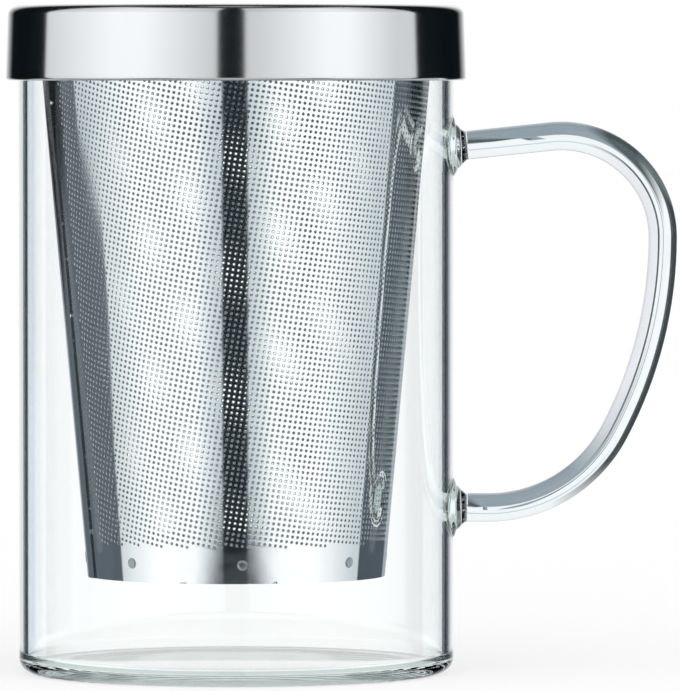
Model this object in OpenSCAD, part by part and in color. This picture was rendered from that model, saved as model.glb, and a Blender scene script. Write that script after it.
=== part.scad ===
// Straight-sided glass tea mug with a lift-out perforated infuser and a lift-off steel cap lid.
// Millimetres, +Z up, origin on the mug's axis at the plane it stands on, handle towards +X.

/* [Glass] */
// Outside diameter of the glass cylinder
glass_d = 85; // [80:0.1:86]
// Height of the glass rim above the table
glass_h = 128.4; // [124:0.1:150]
// Thickness of the glass wall
glass_wall = 1.7; // [1.4:0.1:2.2]
// Thickness of the glass floor at its edge
glass_floor = 2.4; // [2:0.1:5]
// Outside radius between wall and base
heel_r = 3; // [2:0.1:4]
// Inside radius between wall and floor
floor_r = 2; // [1:0.1:3]
// Width of the flat ring that the mug stands on
foot_w = 5; // [3:0.5:12]
// Height of the hollow under the base
punt_depth = 0.6; // [0.2:0.1:1]

/* [Handle] */
// How far the handle reaches out from the glass
handle_reach = 43.7; // [39:0.1:52]
// Depth below the rim at which the upper end of the handle meets the glass
handle_depth = 25.5; // [22:0.1:32]
// Height between the handle's two ends
handle_drop = 70.6; // [66:0.1:76]
// Upward slope of the top run in degrees
handle_rise = 6; // [0:0.5:10]
// Radius of the centreline at the upper corner
handle_top_r = 19.8; // [16:0.1:24]
// Radius of the centreline at the lower corner
handle_bottom_r = 27.8; // [24:0.1:30]
// Angle by which the grip leans in at its lower end
handle_lean = 27.8; // [24:0.1:32]
// Thickness of the glass rod in the plane of the handle
rod_t = 5.6; // [4.5:0.1:7]
// Width of the glass rod across that plane
rod_w = 7.2; // [5.5:0.1:9]
// Diameter of the pad where the rod is fused to the wall
pad_d = 11.5; // [10.5:0.1:14]
// Thickness of that pad at its rim
pad_t = 0.8; // [0.6:0.1:2]
// Length of the neck between pad and rod
pad_neck = 1.8; // [1:0.1:3]

/* [Infuser] */
// Length of the infuser below the glass rim
infuser_depth = 109.3; // [96:0.5:120]
// Outside diameter of the infuser at its lower edge
infuser_d = 58.2; // [50:0.1:59]
// Width of the step between the infuser wall and the outside of its collar
shoulder_w = 1.97; // [1.9:0.01:4]
// Thickness of the perforated sheet
sheet = 0.5; // [0.4:0.05:0.7]
// Diameter of one hole of the perforation
hole_d = 2.8; // [1.2:0.1:3]
// Distance between the holes in both directions of the flat sheet
hole_pitch = 7.5; // [7:0.1:12]
// Unpunched band along the lower edge
base_margin = 6.8; // [6.4:0.1:10]
// Unpunched band along the upper edge
top_margin = 5; // [4.6:0.1:9]
// Unpunched band on each side of the lap seam
seam_margin = 6.5; // [5:0.5:10]
// Width of the overlap at the seam
lap_w = 5; // [3:0.5:8]
// Direction of the seam in degrees from +X
seam_turn = 196.5; // [190:0.5:215]
// Height of the upturned flange of the base pan
pan_h = 6; // [5.4:0.1:6.2]
// Bend radius of the base pan
pan_bend = 1.2; // [0.8:0.1:1.6]
// Height of the collar's straight band inside the glass
collar_h = 7; // [5:0.1:9]
// Height of the collar's lower band around the perforated wall
collar_grip = 4; // [3:0.1:4.4]
// Thickness of the collar sheet
collar_t = 0.6; // [0.4:0.05:0.8]
// Bend radius of the collar
collar_bend = 0.6; // [0.5:0.05:1.2]
// How far the collar's flange reaches past the outside of the glass
flange_over = 0.5; // [0.2:0.05:0.6]

/* [Lid] */
// Gap between the collar's flange and the lid's folded lower edge
lid_gap = 0.7; // [0.5:0.1:2]
// Height of the lid
lid_h = 14.6; // [13:0.1:20]
// Thickness of the lid sheet
lid_t = 0.6; // [0.5:0.05:0.7]
// Draft of the lid's skirt in degrees from upright
lid_draft = 2; // [0.5:0.1:2.5]
// Outside radius around the top of the lid
lid_r = 2; // [1.4:0.1:3]
// Height of the hem folded up inside the lower edge
hem_h = 1.6; // [1.4:0.1:2.4]
// Height of the locating ring under the lid
ring_h = 6; // [4:0.1:6.4]
// Bend radius of the locating ring
ring_bend = 0.9; // [0.7:0.1:1.2]
// Thickness of the locating ring's sheet
ring_t = 0.5; // [0.4:0.05:0.6]

/* [Spot welds] */
// Diameter of one spot weld
weld_d = 2.1; // [1.6:0.1:2.4]
// Number of spot welds around the base pan, and around the collar
weld_n = 8; // [4:1:10]
// Direction of the first of these spot welds in degrees from +X
weld_turn = 228; // [220:1:240]
// Number of spot welds between the locating ring and the lid
ring_weld_n = 6; // [3:1:12]

/* [Fits] */
// Gap between the collar's band and the inside of the glass
collar_gap = 0.5; // [0.4:0.05:1]
// Gap between the locating ring and the inside of the collar
ring_gap = 0.4; // [0.3:0.05:1]
// Gap between faces that rest on each other
seat_gap = 0.1; // [0.05:0.01:0.2]
// Gap between sheets that are welded or folded together, and around the welds
sheet_gap = 0.1; // [0.05:0.01:0.15]

/* [Hidden] */
$fn = 96;
// How far a cutting shape reaches past what it cuts
over = 1;

glass_r = glass_d / 2;
bore_r = glass_r - glass_wall;
punt_r = glass_r - heel_r - foot_w;
punt_sphere_r = (punt_r * punt_r + punt_depth * punt_depth) / (2 * punt_depth);

// The handle's centreline starts on the glass, runs straight, turns down round the top corner,
// follows the wide arc of the grip, turns in round the lower corner and runs level to the glass.
// The straight's length follows from the reach, and the grip's radius from the drop.
// end_bury is how far the rod's ends run into the wall before the wall's shape is cut from them, and
// neck_lip how far the pad's neck stands proud of the rod.
handle_top_z = glass_h - handle_depth;
top_run = (handle_reach - rod_t / 2 - handle_top_r * (1 + sin(handle_rise))) / cos(handle_rise);
grip_turn = 90 + handle_lean;
grip_r = (handle_drop + top_run * sin(handle_rise) - handle_top_r * cos(handle_rise)
          - handle_bottom_r * (1 + cos(grip_turn))) / -cos(grip_turn);
corner_z = handle_top_z + top_run * sin(handle_rise);
handle_bottom_z = handle_top_z - handle_drop;
grip_x = glass_r + handle_reach - rod_t / 2;
grip_z = corner_z - handle_top_r * cos(handle_rise);
lower_x = grip_x - (grip_r - handle_bottom_r) * (1 - cos(handle_lean)) - handle_bottom_r;
end_bury = 1.5;
neck_lip = 0.15;

// What sits on the rim, from the glass up: collar flange, locating ring, lid.
flange_z = glass_h + seat_gap;
flange_r = glass_r + flange_over;
ring_z = flange_z + collar_t + seat_gap;
lid_top = ring_z + ring_t + sheet_gap + lid_t;
lid_z = lid_top - lid_h;
// The lid's outside at its lower edge, with its folded hem just outside the flange
lid_edge_r = flange_r + lid_gap + 2 * lid_t + sheet_gap;

// The infuser's wall is a cone, whose outside radius grows with height, up to the collar's shoulder.
collar_r = bore_r - collar_gap;
shoulder_z = flange_z - collar_h;
infuser_z = glass_h - infuser_depth;
infuser_r = infuser_d / 2;
taper = atan((collar_r - shoulder_w - infuser_r) / (shoulder_z - infuser_z));
function cone_r(z) = infuser_r + (z - infuser_z) * tan(taper);
// Width of a sheet on the cone, measured along its radius
sheet_w = sheet / cos(taper);
wall_top = shoulder_z - sheet_gap;
grip_gap_w = sheet_gap / cos(taper);

// The wall is a ring sector of flat sheet, rolled up. Its square pattern of holes is square on the flat
// sheet, so on the cone the rows lean towards the seam. Slant lengths are measured from the cone's tip.
slant_low = infuser_r / sin(taper);
slant_high = cone_r(wall_top) / sin(taper);
sector_half = 180 * sin(taper);

pan_weld_z = infuser_z + (pan_bend + pan_h) / 2;
collar_weld_z = shoulder_z - collar_grip / 2 - collar_bend / 2;
seat_mid = (glass_r + bore_r) / 2;
ring_r = collar_r - collar_t - ring_gap;
ring_weld_r = ring_r + weld_d;
// These nuggets end halfway through the lid's sheet, so its top stays plain.
ring_weld_h = ring_t + sheet_gap + lid_t / 2;

// A point at radius r and direction a from a centre
function around(c, r, a) = c + r * [cos(a), sin(a)];
function heading(p, q) = atan2(q.y - p.y, q.x - p.x);
// Turn at a bend, from -180 to 180 degrees, left turns positive
function turn_at(a, b) = (b - a + 540) % 360 - 180;

// One side of a bent sheet's cross-section. path is its middle line, bend[i] the middle line's radius at
// path[i], and off how far this side lies to the left of the middle line.
bend_steps = 6;
function sheet_side(path, bend, off) = [
  for (i = [0 : len(path) - 1])
    let (last = len(path) - 1,
         a = i == 0 ? heading(path[0], path[1]) : heading(path[i - 1], path[i]),
         b = i == last ? a : heading(path[i], path[i + 1]),
         t = turn_at(a, b))
      if (i == 0 || i == last) around(path[i], off, a + 90)
      else
        let (s = sign(t), r = bend[i],
             start = around(path[i], r * tan(abs(t) / 2), a + 180),
             centre = around(start, r, a + 90 * s))
          for (k = [0 : bend_steps]) around(centre, r - s * off, a - 90 * s + t * k / bend_steps)
];
function reversed(list) = [for (i = [len(list) - 1 : -1 : 0]) list[i]];
module bent_sheet(path, bend, t) {
  polygon(concat(sheet_side(path, bend, t / 2), reversed(sheet_side(path, bend, -t / 2))));
}

// What a round takes off a square corner that stands at the origin, with the part at +X and +Y
module corner_waste(r) {
  difference() {
    translate([-over, -over]) square(r + over);
    translate([r, r]) circle(r);
  }
}

module glass_profile() {
  difference() {
    square([glass_r, glass_h]);
    difference() {
      translate([-over, glass_floor]) square([bore_r + over, glass_h]);
      translate([bore_r, glass_floor]) mirror([1, 0]) corner_waste(floor_r);
    }
    translate([glass_r, 0]) mirror([1, 0]) corner_waste(heel_r);
    translate([0, punt_depth - punt_sphere_r]) circle(punt_sphere_r, $fn = 1440);
    difference() {
      translate([bore_r - over, glass_h - glass_wall / 2]) square([glass_wall + 2 * over, glass_wall]);
      translate([seat_mid, glass_h - glass_wall / 2]) circle(glass_wall / 2);
    }
  }
}

module glass_body() {
  color([0.86, 0.93, 0.94, 0.35]) rotate_extrude() glass_profile();
}

// Stations along the rod's centreline, each [x, z, heading in degrees from +X]. An arc leaves out the
// station it starts from, which is the last one of the run before it.
rod_sides = 24;
rod_step = 6;
function rod_arc(centre, r, from, to) =
  let (steps = ceil(abs(to - from) / rod_step))
    [for (k = [1 : steps]) let (h = from + (to - from) * k / steps) concat(around(centre, r, h + 90), h)];
top_centre = [grip_x - handle_top_r, grip_z];
rod_stations = concat(
  [concat(around([glass_r, handle_top_z], -end_bury, handle_rise), handle_rise)],
  [concat(around(top_centre, handle_top_r, handle_rise + 90), handle_rise)],
  rod_arc(top_centre, handle_top_r, handle_rise, -90),
  rod_arc([grip_x - grip_r, grip_z], grip_r, -90, -grip_turn),
  rod_arc([lower_x, handle_bottom_z + handle_bottom_r], handle_bottom_r, -grip_turn, -180),
  [[glass_r - end_bury, handle_bottom_z, -180]]
);
function rod_ring(station) = [
  for (k = [0 : rod_sides - 1])
    let (a = 360 * k / rod_sides, p = around([station.x, station.y], rod_t / 2 * cos(a), station.z + 90))
      [p.x, rod_w / 2 * sin(a), p.y]
];

// Oval glass rod, swept along its stations
module rod() {
  n = len(rod_stations);
  function corner(i, k) = i * rod_sides + k % rod_sides;
  polyhedron(
    points = [for (station = rod_stations) each rod_ring(station)],
    faces = concat(
      [[for (k = [rod_sides - 1 : -1 : 0]) corner(0, k)]],
      [for (i = [0 : n - 2], k = [0 : rod_sides - 1]) each [
        [corner(i, k), corner(i, k + 1), corner(i + 1, k + 1)],
        [corner(i, k), corner(i + 1, k + 1), corner(i + 1, k)]]],
      [[for (k = [0 : rod_sides - 1]) corner(n - 1, k)]]));
}

// Pad on the wall at height z, whose axis points along direction a of the XZ plane. Its edge is round,
// and its face sweeps up into a neck just wider than the rod is thick.
module pad(z, a) {
  rim = pad_t / 2;
  face_r = pad_d / 2 - rim;
  neck_r = rod_t / 2 + neck_lip;
  edge = [for (k = [0 : 4]) around([face_r, pad_t - rim], rim, k * 90 / 4)];
  neck = [for (k = [1 : 8]) let (a = k * 90 / 8)
            [face_r - (face_r - neck_r) * sin(a), pad_t + pad_neck * (1 - cos(a))]];
  translate([glass_r, 0, z]) rotate([0, 90 - a, 0]) rotate_extrude()
    polygon(concat([[0, -end_bury], [pad_d / 2, -end_bury]], edge, neck, [[0, pad_t + pad_neck]]));
}

module glass_handle() {
  color([0.86, 0.93, 0.94, 0.35]) difference() {
    union() {
      rod();
      pad(handle_top_z, handle_rise);
      pad(handle_bottom_z, 0);
    }
    cylinder(r = glass_r, h = glass_h);
  }
}

// Places children at slant length s and flat angle f of the rolled sheet, with +Z out of the cone
module on_cone(s, f) {
  rotate([0, 0, seam_turn + 180 + f / sin(taper)])
    translate([s * sin(taper), 0, infuser_z + (s - slant_low) * cos(taper)])
      rotate([0, 90 + taper, 0]) children();
}

// The flat sheet's square pattern, with its middle column opposite the seam, kept off all four margins
module perforation() {
  columns = ceil(slant_high * sin(sector_half) / hole_pitch);
  first_row = slant_low * cos(sector_half);
  rows = ceil((slant_high - first_row) / hole_pitch);
  for (i = [-columns : columns], j = [0 : rows]) {
    flat = [i * hole_pitch, first_row + j * hole_pitch];
    s = norm(flat);
    f = atan2(flat.x, flat.y);
    if (s > slant_low + base_margin + hole_d / 2 && s < slant_high - top_margin - hole_d / 2
        && abs(f) < sector_half && s * sin(sector_half - abs(f)) > seam_margin + hole_d / 2)
      on_cone(s, f) cylinder(d = hole_d, h = 4 * sheet, center = true, $fn = 24);
  }
}

// Band of sheet on the cone, from height z0 to z1, whose outside lies off outside the wall's outside
module cone_band(z0, z1, w, off) {
  r0 = cone_r(z0) + off;
  r1 = cone_r(z1) + off;
  polygon([[r0 - w, z0], [r0, z0], [r1, z1], [r1 - w, z1]]);
}

// Places children at each of a ring's spot welds, at height z on the cone, with +Z out of the cone
module cone_welds(z) {
  for (i = [0 : weld_n - 1])
    rotate([0, 0, weld_turn + i * 360 / weld_n]) translate([cone_r(z), 0, z])
      rotate([0, 90 + taper, 0]) children();
}

module weld_bore() {
  cylinder(d = weld_d + 2 * sheet_gap, h = 8 * sheet, center = true);
}

module infuser_wall() {
  lap_turn = lap_w / cone_r(infuser_z + infuser_depth / 2) * 180 / PI;
  color("silver") difference() {
    union() {
      rotate_extrude() cone_band(infuser_z, wall_top, sheet_w, 0);
      rotate([0, 0, seam_turn - lap_turn / 2]) rotate_extrude(angle = lap_turn)
        cone_band(infuser_z, shoulder_z - collar_grip - sheet_gap, 1.5 * sheet_w, sheet_w);
    }
    perforation();
    cone_welds(pan_weld_z) weld_bore();
    cone_welds(collar_weld_z) weld_bore();
  }
}

module infuser_base() {
  pan_off = -sheet_w - grip_gap_w - sheet_w / 2;
  floor_z = infuser_z + sheet / 2;
  hole_limit = cone_r(infuser_z) + pan_off - pan_bend - hole_d;
  n = floor(hole_limit / hole_pitch);
  color("silver") difference() {
    rotate_extrude() bent_sheet(
      [[0, floor_z], [cone_r(floor_z) + pan_off, floor_z],
       [cone_r(infuser_z + pan_h) + pan_off, infuser_z + pan_h]],
      [0, pan_bend, 0], sheet);
    for (i = [-n : n], j = [-n : n])
      if (norm([i, j]) * hole_pitch < hole_limit)
        translate([i, j, 0] * hole_pitch) cylinder(d = hole_d, h = infuser_z + 2 * sheet);
    cone_welds(pan_weld_z) weld_bore();
  }
}

module infuser_collar() {
  grip_off = grip_gap_w + collar_t / 2 / cos(taper);
  band_r = collar_r - collar_t / 2;
  top_z = flange_z + collar_t / 2;
  low_z = shoulder_z - collar_grip;
  shoulder = shoulder_z + collar_t / 2;
  step_r = cone_r(shoulder) + grip_off;
  // Both bends of the shoulder have to fit on its width.
  bend = min(collar_bend, (band_r - step_r) / 2);
  color("silver") difference() {
    rotate_extrude() bent_sheet(
      [[cone_r(low_z) + grip_off, low_z], [step_r, shoulder], [band_r, shoulder],
       [band_r, top_z], [flange_r, top_z]],
      [0, bend, bend, bend, 0], collar_t);
    cone_welds(collar_weld_z) weld_bore();
  }
}

// A weld nugget reaches through both of the sheets that it joins
module infuser_spot_welds() {
  color("gray") {
    cone_welds(pan_weld_z) translate([0, 0, -2 * sheet - sheet_gap])
      cylinder(d = weld_d, h = 2 * sheet + sheet_gap);
    cone_welds(collar_weld_z) translate([0, 0, -sheet])
      cylinder(d = weld_d, h = sheet + sheet_gap + collar_t);
  }
}

module lid_shell() {
  top_z = lid_top - lid_t / 2;
  // The hem turns back on itself in two bends, with a hair of straight sheet between them.
  hem_w = lid_t + sheet_gap;
  hem_bend = 0.495 * hem_w;
  low_z = lid_z + lid_t / 2;
  skirt_r = lid_edge_r - lid_t / 2;
  top_r = skirt_r - (top_z - low_z) * tan(lid_draft);
  color("gainsboro") difference() {
    rotate_extrude() bent_sheet(
      [[0, top_z], [top_r, top_z], [skirt_r, low_z], [skirt_r - hem_w, low_z],
       [skirt_r - hem_w, lid_z + hem_h]],
      [0, lid_r - lid_t / 2, hem_bend, hem_bend, 0], lid_t);
    ring_welds() cylinder(d = weld_d + 2 * sheet_gap, h = ring_weld_h + sheet_gap);
  }
}

// Places children at the spot welds between the lid's top and the ring's flange
module ring_welds() {
  for (i = [0 : ring_weld_n - 1])
    rotate([0, 0, i * 360 / ring_weld_n]) translate([ring_weld_r, 0, ring_z]) children();
}

module lid_locating_ring() {
  skirt_r = ring_r - ring_t / 2;
  top_z = ring_z + ring_t / 2;
  color("silver") difference() {
    rotate_extrude() bent_sheet(
      [[flange_r, top_z], [skirt_r, top_z], [skirt_r, top_z - ring_h]],
      [0, ring_bend, 0], ring_t);
    ring_welds() cylinder(d = weld_d + 2 * sheet_gap, h = 4 * ring_t, center = true);
  }
}

module lid_spot_welds() {
  color("gray") ring_welds() cylinder(d = weld_d, h = ring_weld_h);
}

glass_body();
glass_handle();
infuser_wall();
infuser_base();
infuser_collar();
infuser_spot_welds();
lid_shell();
lid_locating_ring();
lid_spot_welds();
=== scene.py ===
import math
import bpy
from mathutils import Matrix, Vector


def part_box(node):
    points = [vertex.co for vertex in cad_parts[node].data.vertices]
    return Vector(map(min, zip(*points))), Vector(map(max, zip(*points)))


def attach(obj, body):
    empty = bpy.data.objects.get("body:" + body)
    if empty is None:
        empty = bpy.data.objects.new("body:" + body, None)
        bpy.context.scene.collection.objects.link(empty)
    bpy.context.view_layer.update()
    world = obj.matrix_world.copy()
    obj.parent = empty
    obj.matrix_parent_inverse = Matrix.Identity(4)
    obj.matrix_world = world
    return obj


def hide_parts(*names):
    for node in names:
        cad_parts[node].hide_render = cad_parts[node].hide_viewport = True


bl_info = {
    "name": "Glass Tea Mug with Infuser",
    "version": (1, 0, 0),
    "blender": (4, 5, 0),
    "location": "3D View > Sidebar > Tea Mug",
    "description": "Builds a glass tea mug with a perforated infuser and a steel cap lid",
    "category": "Add Mesh",
}

import bmesh
import bpy
from mathutils import Vector

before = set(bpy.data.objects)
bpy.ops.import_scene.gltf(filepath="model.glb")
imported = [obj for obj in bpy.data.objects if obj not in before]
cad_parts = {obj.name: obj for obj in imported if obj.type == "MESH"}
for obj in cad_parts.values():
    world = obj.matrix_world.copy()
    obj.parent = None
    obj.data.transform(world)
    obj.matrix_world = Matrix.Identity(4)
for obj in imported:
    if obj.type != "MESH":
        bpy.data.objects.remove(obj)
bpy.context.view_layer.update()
MM = 0.001
TINY = 1e-9

# Faces around a turned piece
ROUND_FACES = 256
PAN_FACES = 192
MARK_FACES = 24

# Places that come from the CAD frame
GLASS_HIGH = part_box("glass_body")[1]
HANDLE_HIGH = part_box("glass_handle")[1]
WALL_LOW, WALL_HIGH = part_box("infuser_wall")
COLLAR_LOW, COLLAR_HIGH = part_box("infuser_collar")
LID_LOW, LID_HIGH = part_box("lid_shell")
RING_LOW, RING_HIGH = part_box("lid_locating_ring")


def reach(node):
    """Largest distance of a CAD node from the mug's axis."""
    return max(math.hypot(v.co.x, v.co.y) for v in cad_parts[node].data.vertices)


def length(name, description, default):
    return bpy.props.FloatProperty(
        name=name, description=description, default=default, min=0, precision=5, unit="LENGTH"
    )


def angle(name, description, degrees):
    return bpy.props.FloatProperty(
        name=name, description=description, default=math.radians(degrees), unit="ROTATION"
    )


def count(name, description, default):
    return bpy.props.IntProperty(
        name=name, description=description, default=default, min=1, subtype="UNSIGNED"
    )


def share(name, description, default):
    return bpy.props.FloatProperty(
        name=name, description=description, default=default, min=0, max=1, subtype="FACTOR"
    )


def colour(name, description, default):
    return bpy.props.FloatVectorProperty(
        name=name, description=description, default=default, size=3, min=0, max=1, subtype="COLOR"
    )


def spot(name, description, default):
    return bpy.props.FloatVectorProperty(
        name=name, description=description, default=default, size=3, subtype="XYZ", unit="LENGTH"
    )


class GlassSizes(bpy.types.PropertyGroup):
    """Sizes of the glass cylinder"""

    radius: length("Radius", "Outside radius of the glass", reach("glass_body"))
    rim_z: length("Rim height", "Height of the rim above the table", GLASS_HIGH.z)
    wall: length("Wall", "Thickness of the wall", 1.7 * MM)
    floor: length("Floor", "Thickness of the floor at its edge", 2.4 * MM)
    heel_r: length("Heel radius", "Outside radius between wall and base", 3 * MM)
    floor_r: length("Floor radius", "Inside radius between wall and floor", 2 * MM)
    foot_w: length("Foot width", "Width of the flat ring it stands on", 5 * MM)
    punt: length("Punt", "Height of the hollow under the base", 0.6 * MM)
    turns: count("Turns", "Faces around the glass", ROUND_FACES)


class HandleSizes(bpy.types.PropertyGroup):
    """Sizes of the glass rod handle"""

    reach: length(
        "Reach", "How far the handle reaches out from the glass", HANDLE_HIGH.x - reach("glass_body")
    )
    depth: length("Depth", "Depth of its upper end below the rim", 25.5 * MM)
    drop: length("Drop", "Height between its two ends", 70.6 * MM)
    rise: angle("Rise", "Upward slope of the top run", 6)
    lean: angle("Lean", "Angle by which the grip leans in at its lower end", 27.8)
    top_r: length("Top radius", "Radius of the centreline at the upper corner", 19.8 * MM)
    bottom_r: length("Bottom radius", "Radius of the centreline at the lower corner", 27.8 * MM)
    thick: length("Thickness", "Thickness of the rod in the plane of the handle", 5.6 * MM)
    width: length("Width", "Width of the rod across that plane", 7.2 * MM)
    pad_r: length("Pad height", "Half height of the pad where the rod is fused to the wall", 5.75 * MM)
    pad_w: length("Pad width", "Half width of that pad around the wall", 8.5 * MM)
    neck: length("Neck", "Length of the neck between the wall and the rod", 2.6 * MM)
    sides: count("Sides", "Faces around the rod", 48)


class InfuserSizes(bpy.types.PropertyGroup):
    """Sizes of the infuser"""

    low_z: length("Lower edge", "Height of the lower edge", WALL_LOW.z)
    high_z: length("Upper edge", "Height of the wall's upper edge, inside the collar", WALL_HIGH.z)
    low_r: length("Lower radius", "Outside radius at the lower edge", 29.1 * MM)
    slope: angle("Taper", "Taper of the wall from upright", 5.15)
    sheet: length("Sheet", "Thickness of the perforated sheet", 0.3 * MM)
    hole: length("Hole", "Diameter of one hole", 0.55 * MM)
    pitch: length("Pitch", "Distance between the holes both ways in the flat sheet", 1.05 * MM)
    roll: length("Rim roll", "How far the punch rolled each hole's rim over", 0.05 * MM)
    low_band: length("Lower band", "Unpunched band along the lower edge", 6.8 * MM)
    high_band: length("Upper band", "Unpunched band along the upper edge", 5 * MM)
    seam_band: length("Seam band", "Unpunched band on each side of the seam", 6.5 * MM)
    lap: length("Lap", "Width of the overlap at the seam", 5 * MM)
    seam: angle("Seam", "Direction of the seam from the handle's", 196.5)
    pan_h: length("Pan height", "Height of the base pan's upturned flange", 6 * MM)
    pan_bend: length("Pan bend", "Bend radius of the base pan", 1.2 * MM)
    gap: length("Gap", "Gap between sheets that are welded together", 0.1 * MM)
    collar_r: length("Collar radius", "Outside radius of the collar's band", 40.3 * MM)
    collar_h: length("Collar height", "Height of the collar's band under its flange", 7 * MM)
    collar_t: length("Collar sheet", "Thickness of the collar's sheet", 0.6 * MM)
    collar_bend: length("Collar bend", "Bend radius of the collar", 0.6 * MM)


class LidSizes(bpy.types.PropertyGroup):
    """Sizes of the lid"""

    radius: length("Radius", "Outside radius at the lower edge", reach("lid_shell"))
    low_z: length("Lower edge", "Height of the lower edge", LID_LOW.z)
    top_z: length("Top", "Height of the top", LID_HIGH.z)
    sheet: length("Sheet", "Thickness of the lid's sheet", 0.6 * MM)
    draft: angle("Draft", "Draft of the skirt from upright", 2)
    corner: length("Corner", "Outside radius around the top", 1.8 * MM)
    hem: length("Hem", "Height of the hem folded up inside the lower edge", 1.6 * MM)
    hem_gap: length("Hem gap", "Gap inside the folded hem", 0.1 * MM)
    ring_r: length("Ring radius", "Outside radius of the locating ring's skirt", 39.3 * MM)
    ring_t: length("Ring sheet", "Thickness of the locating ring", 0.5 * MM)
    ring_bend: length("Ring bend", "Bend radius of the locating ring", 0.9 * MM)


class WeldSizes(bpy.types.PropertyGroup):
    """Sizes and places of the spot welds"""

    radius: length("Radius", "Radius of one mark", 1.05 * MM)
    proud: length("Proud", "Height of a mark's raised ring", 0.09 * MM)
    number: count("Number", "Welds around the base pan, and around the collar", 8)
    first: angle("First", "Direction of the first weld from the handle's", 228)
    pan_up: length("Pan weld height", "Height of the welds above the infuser's lower edge", 3.6 * MM)
    collar_down: length("Collar weld depth", "Depth of the welds under the collar's shoulder", 2.3 * MM)
    ring_number: count("Ring number", "Welds between the locating ring and the lid", 6)


class Finishes(bpy.types.PropertyGroup):
    """Colours and gloss of the materials"""

    glass: colour("Glass", "Tint of the glass", (0.985, 0.995, 0.992))
    steel: colour("Sheet steel", "Colour of the bright rolled sheet", (0.9, 0.91, 0.92))
    lid_steel: colour("Lid steel", "Colour of the lid's brushed sheet", (0.85, 0.86, 0.87))
    weld: colour("Weld", "Colour of a spot weld", (0.42, 0.44, 0.46))
    sheet_gloss: share("Sheet roughness", "Roughness of the rolled sheet", 0.055)
    lid_gloss: share("Lid roughness", "Roughness of the brushed lid", 0.15)


class StageSettings(bpy.types.PropertyGroup):
    """Camera and surroundings"""

    eye: spot("Camera", "Where the camera stands", (0.0203, -1.57, 0.1162))
    aim: spot("Aim", "What the camera looks at", (0.0203, 0, 0.064))
    focal: bpy.props.FloatProperty(
        name="Focal length",
        description="Focal length in millimetres",
        default=418.35,
        subtype="DISTANCE_CAMERA",
    )
    floor: share("Floor", "Lightness of the floor", 0.955)
    lift: share("Floor lift", "How far the camera sees the floor lifted to plain white", 0.7)
    light: bpy.props.FloatProperty(
        name="Light", description="Strength of the soft light from all round", default=1.05, subtype="FACTOR"
    )


class Wire:
    """A node's output that sums can be written on."""

    def __init__(self, web, socket):
        self.web = web
        self.socket = socket

    def math(self, operation, *others, clamp=False):
        settings = {"operation": operation, "use_clamp": clamp}
        return self.web.add("ShaderNodeMath", settings, dict(enumerate((self, *others))))

    def __add__(self, other):
        return self.math("ADD", other)

    __radd__ = __add__

    def __sub__(self, other):
        return self.math("SUBTRACT", other)

    def __rsub__(self, other):
        return (self * -1).math("ADD", other)

    def __mul__(self, other):
        return self.math("MULTIPLY", other)

    __rmul__ = __mul__

    def __truediv__(self, other):
        return self.math("DIVIDE", other)

    def above(self, edge):
        return self.math("GREATER_THAN", edge)

    def below(self, edge):
        return self.math("LESS_THAN", edge)

    def up(self, edge, soft):
        """0 below the edge and 1 above it, over a ramp as wide as soft and centred on the edge."""
        return ((self - edge) / soft).math("ADD", 0.5, clamp=True)

    def within(self, first, last, soft, last_soft=None):
        """1 between two edges and 0 beyond them, with ramps as wide as soft and last_soft."""
        return self.up(first, soft) * (1 - self.up(last, last_soft or soft))


class Web:
    """Adds nodes to one tree."""

    def __init__(self, tree):
        self.tree = tree

    def node(self, kind, settings=None, values=None):
        made = self.tree.nodes.new(kind)
        for key, value in (settings or {}).items():
            setattr(made, key, value)
        for key, value in (values or {}).items():
            for part in value if isinstance(value, list) else [value]:
                if isinstance(part, Wire):
                    self.tree.links.new(part.socket, made.inputs[key])
                else:
                    made.inputs[key].default_value = part
        return made

    def add(self, kind, settings=None, values=None, output=0):
        return Wire(self, self.node(kind, settings, values).outputs[output])

    def split(self, vector):
        parts = self.node("ShaderNodeSeparateXYZ", values={0: vector})
        return [Wire(self, socket) for socket in parts.outputs]

    def join(self, x, y, z):
        return self.add("ShaderNodeCombineXYZ", values={0: x, 1: y, 2: z})

    def blend(self, factor, low, high):
        """The colour low where factor is 0, and high where it is 1."""
        return self.add("ShaderNodeMix", {"data_type": "RGBA"}, {0: factor, 6: low, 7: high}, 2)


def across(x, y):
    return (x * x + y * y).math("SQRT")


def grey(level):
    return (level, level, level, 1)


# Outlines and solids


def arc(centre, radius, start, end, steps):
    """Points round an arc, both ends included, with its angles in degrees."""
    turns = [math.radians(start + (end - start) * k / steps) for k in range(steps + 1)]
    return [(centre[0] + radius * math.cos(t), centre[1] + radius * math.sin(t)) for t in turns]


def bent_strip(path, bends, thick, steps=8):
    """Closed cross-section of a bent sheet. path is its middle line, and bends the radii at its corners."""
    sides = []
    for offset in (-thick / 2, thick / 2):
        side = []
        for i, here in enumerate(path):
            before = Vector(path[i]) - Vector(path[i - 1]) if i else Vector(path[1]) - Vector(path[0])
            after = Vector(path[i + 1]) - Vector(here) if i + 1 < len(path) else before
            a = math.atan2(before.y, before.x)
            left = Vector((-math.sin(a), math.cos(a)))
            if i in (0, len(path) - 1):
                side.append(tuple(Vector(here) + offset * left))
                continue
            turn = math.remainder(math.atan2(after.y, after.x) - a, math.tau)
            way = math.copysign(1, turn)
            start = Vector(here) - before.normalized() * bends[i] * math.tan(abs(turn) / 2)
            centre = start + way * bends[i] * left
            from_angle = math.degrees(a) - 90 * way
            side += arc(centre, bends[i] - way * offset, from_angle, from_angle + math.degrees(turn), steps)
        sides.append(side)
    return sides[0] + sides[1][::-1]


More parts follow.
